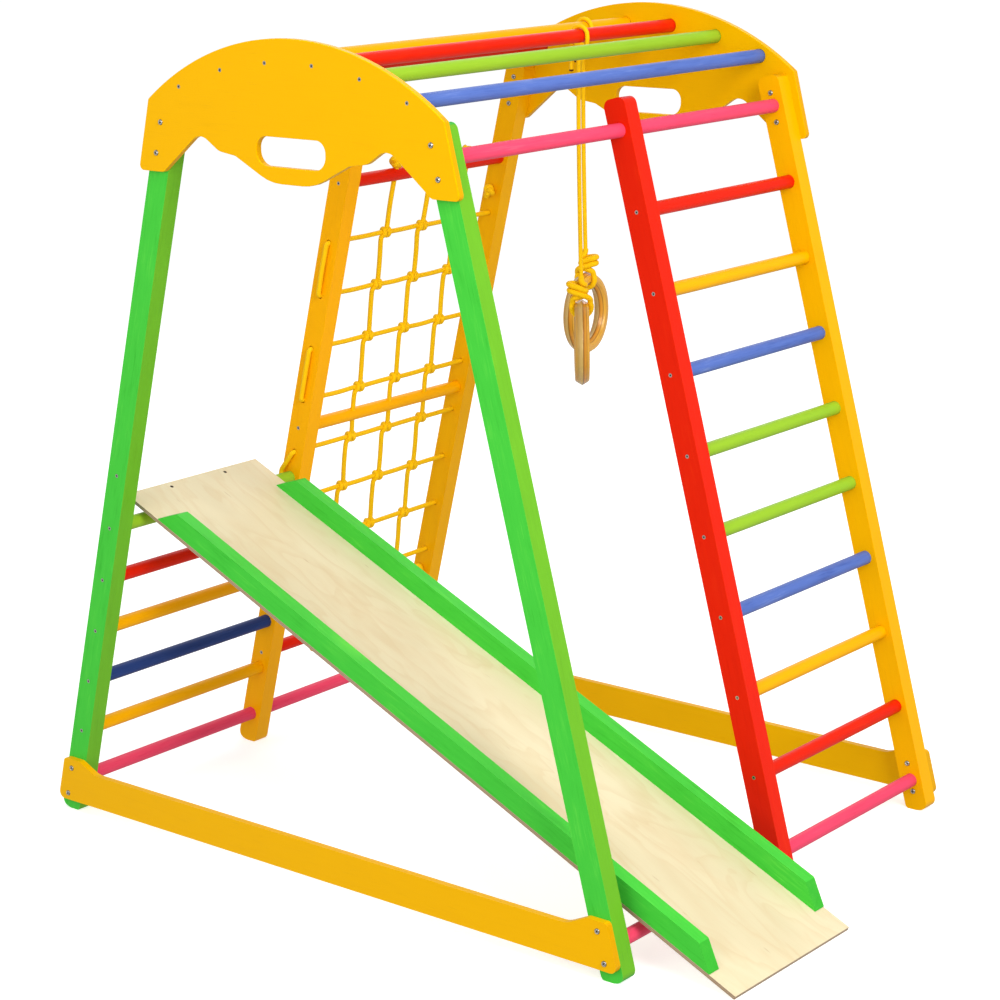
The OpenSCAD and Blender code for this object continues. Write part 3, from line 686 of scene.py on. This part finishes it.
def ring_knot(name, x, y, ring_z, turn, side):
    """The knot that the strand ends in, its rolls standing out to one side, and its loop round the ring."""
    turn = math.radians(turn)
    near = Vector((math.cos(turn), math.sin(turn), 0))
    out = Vector((-math.sin(turn), math.cos(turn), 0)) * side
    top = place(x, y, ring_z + RING_R + RING_T / 2)
    loop = [(-LOOP_OUT * math.cos(math.radians(a)), 1.5 * math.cos(math.radians(a)),
             -LOOP_DOWN + LOOP_OUT * math.sin(math.radians(a))) for a in range(22, -203, -14)]
    pts = [top + (out * u + near * d) * MM + Vector((0, 0, w * MM)) for u, d, w in KNOT + loop + KNOT_END]
    return rope_piece(name, [strand(even(smooth(pts, 8), 0.0014), KNOT_ROPE_R, 16)])


RING_SLANT = (0.86, 0.51)      # the slanting faces' normal: from the section's core, and across it
RING_CRISP = 18                # higher makes the section's corners sharper


def gym_ring(name, x, y, ring_z, turn):
    """A shaped ring: flat sides, a blunt ridge round its rim and round its bore."""
    turn = math.radians(turn)
    ex, ey = Vector((math.cos(turn), math.sin(turn), 0)), Vector((-math.sin(turn), math.cos(turn), 0))
    centre = place(x, y, ring_z)
    around, section, r = 160, 48, RING_T / 2
    verts, coords, faces = [], [], []
    for i in range(around):
        a = 2 * math.pi * i / around
        for k in range(section):
            b = 2 * math.pi * k / section
            # the section's six faces, blended into one another at their corners
            cos_b, sin_b = math.cos(b), math.sin(b)
            slant = (RING_SLANT[0] * abs(cos_b) + RING_SLANT[1] * abs(sin_b)) / RING_SLANT[0]
            fill = (slant ** RING_CRISP + abs(sin_b) ** RING_CRISP) ** (-1 / RING_CRISP)
            out, through = RING_R + r * fill * cos_b, r * fill * sin_b
            level = Vector((0, 0, out * math.sin(a)))
            verts.append(tuple(centre + ex * out * math.cos(a) + level + ey * through))
            # the grain runs round the ring, and starts on one side of it
            coords += [out - RING_R, through, 0.05 + RING_R * abs(a - math.pi)]
            here, beyond, beside = i * section, (i + 1) % around * section, (k + 1) % section
            faces.append((here + k, beyond + k, beyond + beside, here + beside))
    mesh = bpy.data.meshes.new(name)
    mesh.from_pydata(verts, [], faces)
    mesh.attributes.new("grain", "FLOAT_VECTOR", "POINT").data.foreach_set("vector", coords)
    mesh.polygons.foreach_set("use_smooth", [True] * len(faces))
    bm = bmesh.new()
    bm.from_mesh(mesh)
    bmesh.ops.recalc_face_normals(bm, faces=bm.faces)
    bm.to_mesh(mesh)
    bm.free()
    piece = bpy.data.objects.new(name, mesh)
    bpy.context.scene.collection.objects.link(piece)
    return piece


for where, (x, y, ring_z, turn) in RINGS.items():
    rope, line = hanging_strand("ring_rope_" + where + "_cord", x, y, ring_z)
    over_bar = bar_hitch("ring_hitch_" + where + "_cord", x, y)
    knot = ring_knot("ring_knot_" + where + "_cord", x, y, ring_z, turn, -1 if where == "near" else 1)
    finish_piece(rope, ROPE, "rope_" + where, "rope", "ring_rope_" + where)
    finish_piece(over_bar, ROPE, "rope_" + where, "rope")
    finish_piece(knot, ROPE, "knot_" + where, "rope", "ring_knot_" + where)
    finish_piece(gym_ring("ring_" + where + "_wood", x, y, ring_z, turn), RING_WOOD, "ring_" + where,
                 "ring_wood", "ring_" + where)


# ---------------------------------------------------------------- rope net
wander = random.Random(5)      # how far the ropes stray from straight
NET_ROPE_R = 0.0047
STOPPER_R = 0.0054             # a stopper knot is pulled so tight that its turns spread and close up
CLEAR = 0.0003                 # between the lacing and the wood
LACE_NEAR = MIDDLE_Y - NET_ROPE_R - CLEAR
LACE_FAR = FAR_Y + LEG_DEPTH + NET_ROPE_R + CLEAR
HUG = 0.0012                   # the lacing lies against the inner side of its holes
TURN_R = 0.0066                # radius of an upright's turns round a row
TURN_PLACES = (-0.0010, 0.0044, 0.0070, 0.0066, 0.0032, -0.0014, -0.0062, -0.0104)   # along the row
ABOVE_ROW = (0.0125, -0.0012)    # where an upright comes to a row: up the slope, towards the far end
BELOW_ROW = (-0.0130, -0.0124)   # and where it leaves the row
INWARDS = -0.0030              # both lie this far inside the row


def row_points(s, towards_far):
    """One row of the net between the posts' faces, pulled nearly straight between its knots."""
    pts = [on_left(s, MIDDLE_Y + LEG_DEPTH + 0.004)]
    last = MIDDLE_Y + LEG_DEPTH
    for y in NET_COLUMNS:
        pts.append(on_left(s - wander.uniform(0.0002, 0.0012), (last + y) / 2, wander.uniform(-0.001, 0.001)))
        pts += [on_left(s + 0.0008, y - 0.010), on_left(s, y), on_left(s - 0.0008, y + 0.010)]
        last = y
    pts.append(on_left(s - wander.uniform(0.0, 0.001), (last + FAR_Y) / 2, 0.0))
    pts.append(on_left(s, FAR_Y - 0.004))
    return pts if towards_far else pts[::-1]


def stopper(tail, turn):
    """The knot that ties off the lacing on the far leg's inner face."""
    knot = overhand(on_left(tail, FAR_Y - 0.0110), (0, -1, 0), (0.3, 0, 1), 0.0027, turn)
    line = smooth([on_left(tail, FAR_Y - 0.002)] + knot + [on_left(tail - 0.014, FAR_Y - 0.013, 0.004)], 3)
    return strand(even(line, 0.0016), STOPPER_R)


def make_lacing():
    """One rope laced to and fro through the post and the far leg, row after row."""
    inside = FAR_Y - 0.012
    route = [on_left(NET_TAILS[0], inside), on_left(NET_TAILS[0], LACE_FAR), on_left(NET_ROWS[0], LACE_FAR)]
    for k, s in enumerate(NET_ROWS):
        to_far = k % 2 == 1
        route += smooth(row_points(s, to_far), 6)
        if s == NET_ROWS[-1]:
            break
        face = LACE_FAR if to_far else LACE_NEAR
        bow = 0.0012 if to_far else -0.0018
        below = NET_ROWS[k + 1]
        route.append(on_left(s - HUG, face))
        rung = [w for w in WALL_RUNGS if below < w < s]
        if rung and not to_far:
            # the rope goes round the wall's rung where one is in its way
            off = RUNG_R + NET_ROPE_R + 0.0008
            route += [on_left(rung[0] + 0.012, face + bow, off), on_left(rung[0] - 0.012, face + bow, off)]
        else:
            route.append(on_left((s + below) / 2, face + bow, wander.uniform(-0.0015, 0.0015)))
        route.append(on_left(below + HUG, face))
    route += [on_left(NET_ROWS[-1], LACE_FAR), on_left(NET_TAILS[1], LACE_FAR), on_left(NET_TAILS[1], inside)]
    line = even(filleted(route, 0.0055), 0.0022)
    parts = [strand(line, NET_ROPE_R)] + [stopper(tail, turn) for tail, turn in zip(NET_TAILS, (0.4, 2.1))]
    return finish_piece(rope_piece("net_lacing_rope", parts), ROPE, "frame", "rope", "net_lacing")


def hitch(s, y):
    """The two tight turns that an upright takes round a row of the net, first to the far side."""
    pts, steps = [], 28
    for i in range(steps + 1):
        t = i / steps
        a = math.radians(100 + 850 * t)
        lane = t * (len(TURN_PLACES) - 1)
        j = min(int(lane), len(TURN_PLACES) - 2)
        across = TURN_PLACES[j] + (TURN_PLACES[j + 1] - TURN_PLACES[j]) * (lane - j)
        pts.append(on_left(s + TURN_R * math.sin(a), y + across, TURN_R * math.cos(a)))
    return pts


def make_uprights():
    """Three ropes down through the net's rungs, hitched round every row and knotted at both ends."""
    parts = []
    top, low = NET_RUNGS[2] + RUNG_R, NET_RUNGS[0] - RUNG_R
    up_the_slope = on_left(1, 0) - on_left(0, 0)
    for y in NET_COLUMNS:
        head = overhand(on_left(top + 0.011, y - 0.003), up_the_slope, (0.4, -1, 0), 0.0029,
                        wander.uniform(0, 6))
        parts.append(strand(even(smooth([on_left(top + 0.020, y - 0.014, 0.002)] + head[::-1]
                                        + [on_left(top + 0.002, y), on_left(top - 0.004, y)], 4), 0.0016),
                            STOPPER_R))
        route = [on_left(top - 0.002, y), on_left(NET_RUNGS[2], y)]
        leave = on_left(NET_RUNGS[2] - 0.014, y)
        for s in NET_ROWS:
            route.append(leave)
            arrive = on_left(s + ABOVE_ROW[0], y + ABOVE_ROW[1], INWARDS)
            bend = on_left(0, y + wander.uniform(-0.0012, 0.0012)) - on_left(0, y)
            route += [leave.lerp(arrive, 0.5) + bend, arrive] + hitch(s, y)
            leave = on_left(s + BELOW_ROW[0], y + BELOW_ROW[1], INWARDS)
        route += [leave, on_left(NET_RUNGS[0] + 0.012, y - 0.002), on_left(NET_RUNGS[0], y),
                  on_left(low + 0.002, y)]
        parts.append(strand(even(smooth(route, 5), 0.0018), NET_ROPE_R))
        foot = overhand(on_left(low - 0.011, y), -up_the_slope, (0.4, 1, 0), 0.0029, wander.uniform(0, 6))
        parts.append(strand(even(smooth([on_left(low + 0.004, y), on_left(low - 0.002, y)] + foot
                                        + [on_left(low - 0.025, y - 0.004, 0.003)], 4), 0.0016), STOPPER_R))
    return finish_piece(rope_piece("net_upright_ropes", parts), ROPE, "frame", "rope", "net_uprights")


make_lacing()
make_uprights()


# ---------------------------------------------------------------- bolts and screws
BOLTS = (0.036, 0.089, 1.287, 1.341)    # up the slope of every end leg
HEAD_R = 0.005
HEAD_RISE = 0.0024
HEAD_FALL = 0.0013             # from the middle of the dome to its rim
CROSS = (0.0031, 0.00075)      # half the length and half the width of the cross slot's arms
CROSS_DEPTH = 0.0013
SCREW_RECESS = 0.00155         # the reach of a screw's recess from its axis
RECESS_DEPTH = 0.003           # and from its end


def bolt_heads():
    """Domed cross-slot heads of the bolts and their sleeve nuts, on both faces of every leg end."""
    verts, faces, depth = [], [], []
    rings, sides = 13, 56
    spin = random.Random(3)
    for side in (-1, 1):
        for outer, inner in ((0.0, PLATE + LEG_DEPTH), (2 * CENTRE_Y, 2 * CENTRE_Y - PLATE - LEG_DEPTH)):
            for s in BOLTS:
                x = side * (HALF_SPREAD - s * math.sin(LEAN))
                for y in (outer, inner):
                    out = -1 if (y == outer) == (outer == 0.0) else 1
                    centre = place(x, y, s * math.cos(LEAN))
                    turn = spin.uniform(0, math.pi / 2)
                    first = len(verts)
                    for i in range(rings + 1):
                        r = HEAD_R * (i / rings) ** 0.9
                        for k in range(sides):
                            a = 2 * math.pi * k / sides
                            u, v = abs(r * math.cos(a)), abs(r * math.sin(a))
                            dome = HEAD_RISE - HEAD_FALL * (r / HEAD_R) ** 2
                            if i == rings:
                                dome = 0.0
                            elif i == rings - 1:
                                dome = HEAD_RISE * 0.36
                            arm = min(max(u / CROSS[0], v / CROSS[1]), max(v / CROSS[0], u / CROSS[1]))
                            cut = min(1.0, max(0.0, (1.15 - arm) * 3.2))
                            dome -= CROSS_DEPTH * cut
                            # the cross slot and the head's rim are marked for painted shade
                            depth.append(max(cut * 0.9, 0.75 if i >= rings - 1 else 0.0))
                            verts.append(centre + Vector((r * math.cos(a + turn), out * max(dome, 0.0),
                                                          r * math.sin(a + turn))))
                    for i in range(rings):
                        for k in range(sides):
                            j = (k + 1) % sides
                            quad = (first + i * sides + k, first + i * sides + j,
                                    first + (i + 1) * sides + j, first + (i + 1) * sides + k)
                            faces.append(quad if out < 0 else quad[::-1])
    mesh = bpy.data.meshes.new("bolt_heads")
    mesh.from_pydata([tuple(v) for v in verts], [], faces)
    mesh.attributes.new("slot", "FLOAT", "POINT").data.foreach_set("value", depth)
    mesh.polygons.foreach_set("use_smooth", [True] * len(faces))
    bm = bmesh.new()
    bm.from_mesh(mesh)
    bmesh.ops.remove_doubles(bm, verts=bm.verts, dist=1e-7)
    bmesh.ops.recalc_face_normals(bm, faces=bm.faces)
    bm.to_mesh(mesh)
    bm.free()
    piece = bpy.data.objects.new("bolt_heads", mesh)
    bpy.context.scene.collection.objects.link(piece)
    return finish_piece(piece, PLATED, "frame", "steel", "frame_bolts", "sleeve_nuts")


def screws(node, axis, body, metal=PLATED):
    """The countersunk screws of one node, the insides of their recesses marked for painted shade."""
    axis = Vector(axis)
    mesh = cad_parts[node].data.copy()
    mesh.materials.clear()
    bm = bmesh.new()
    bm.from_mesh(mesh)
    bmesh.ops.remove_doubles(bm, verts=bm.verts, dist=1e-6)
    slot = bm.faces.layers.float.new("slot")
    waiting = set(bm.faces)
    while waiting:
        # all the faces of one screw
        screw, found = [], [waiting.pop()]
        while found:
            face = found.pop()
            screw.append(face)
            for beside in {f for e in face.edges for f in e.link_faces} & waiting:
                waiting.discard(beside)
                found.append(beside)
        points = [v.co for face in screw for v in face.verts]
        reach = [p.dot(axis) for p in points]
        middle = sum(points, Vector()) / len(points)
        across = middle - axis * middle.dot(axis)
        low, high = min(reach), max(reach)
        for face in screw:
            centre = face.calc_center_median()
            at = centre.dot(axis)
            deep = min(at - low, high - at)
            if (centre - axis * at - across).length < SCREW_RECESS and 0.0001 < deep < RECESS_DEPTH:
                face[slot] = 1.0
    bm.to_mesh(mesh)
    bm.free()
    piece = bpy.data.objects.new(node + "_plated", mesh)
    bpy.context.scene.collection.objects.link(piece)
    finish_piece(piece, metal, body, "steel", node)


bolt_heads()
for node in ("ladder_screws", "wall_screws", "bar_screws"):
    screws(node, (0, 1, 0), "frame")
screws("slide_screws", out_of_slide, "slide", BRONZED)


# ---------------------------------------------------------------- floor and light
def only_seen(piece):
    """Leaves a backdrop out of the light that falls on the gym."""
    piece.visible_diffuse = piece.visible_glossy = piece.visible_shadow = False


def stage():
    """A pale floor and a white dome, both seen by the camera alone."""
    size, dome_radius = 60, 80
    mesh = bpy.data.meshes.new("floor")
    mesh.from_pydata([(-size, -size, 0), (size, -size, 0), (size, size, 0), (-size, size, 0)], [],
                     [(0, 1, 2, 3)])
    floor = bpy.data.objects.new("floor", mesh)
    bpy.context.scene.collection.objects.link(floor)
    g = Graph("pale_floor")
    at = g.add("ShaderNodeTexCoord").outputs["Object"]
    tone = g.noise(at, 0.6, 2, 0.4)
    g.put(g.shader, "Base Color", g.ramp(tone, [(0.3, (0.74, 0.74, 0.74)), (0.7, (0.78, 0.78, 0.78))]))
    g.shader.inputs["Roughness"].default_value = 0.95
    g.shader.inputs["Specular IOR Level"].default_value = 0.0
    g.shader.inputs["Emission Color"].default_value = (1, 1, 1, 1)
    g.shader.inputs["Emission Strength"].default_value = 0.58
    mesh.materials.append(g.material)
    only_seen(floor)

    dome = bpy.data.meshes.new("backdrop")
    bm = bmesh.new()
    bmesh.ops.create_uvsphere(bm, u_segments=48, v_segments=24, radius=dome_radius)
    bm.to_mesh(dome)
    bm.free()
    backdrop = bpy.data.objects.new("backdrop", dome)
    bpy.context.scene.collection.objects.link(backdrop)
    g = Graph("white_backdrop")
    g.shader.inputs["Base Color"].default_value = (0, 0, 0, 1)
    g.shader.inputs["Emission Color"].default_value = (1, 1, 1, 1)
    g.shader.inputs["Emission Strength"].default_value = 1.0
    dome.materials.append(g.material)
    only_seen(backdrop)


def area_light(name, at, towards, size, power, colour=(1, 1, 1)):
    """A square soft light, its power in watts."""
    data = bpy.data.lights.new(name, "AREA")
    data.shape = "SQUARE"
    data.size = size
    data.energy = power
    data.color = colour
    light = bpy.data.objects.new(name, data)
    light.location = at
    light.rotation_euler = (Vector(towards) - Vector(at)).to_track_quat("-Z", "Y").to_euler()
    bpy.context.scene.collection.objects.link(light)


stage()
area_light("key", (3.6, -1.2, 3.0), (0, 0, 0.6), 2.4, 170, (1, 0.98, 0.94))
area_light("fill", (0.3, -3.4, 1.6), (0, 0, 0.8), 2.6, 52)
area_light("back", (-2.5, 3.5, 3.2), (0, 0, 0.7), 3.0, 40)
world = bpy.data.worlds.new("studio")
world.use_nodes = True
world.node_tree.nodes["Background"].inputs["Color"].default_value = (1, 1, 1, 1)
world.node_tree.nodes["Background"].inputs["Strength"].default_value = 0.6
bpy.context.scene.world = world
bpy.context.scene.view_settings.view_transform = "Standard"
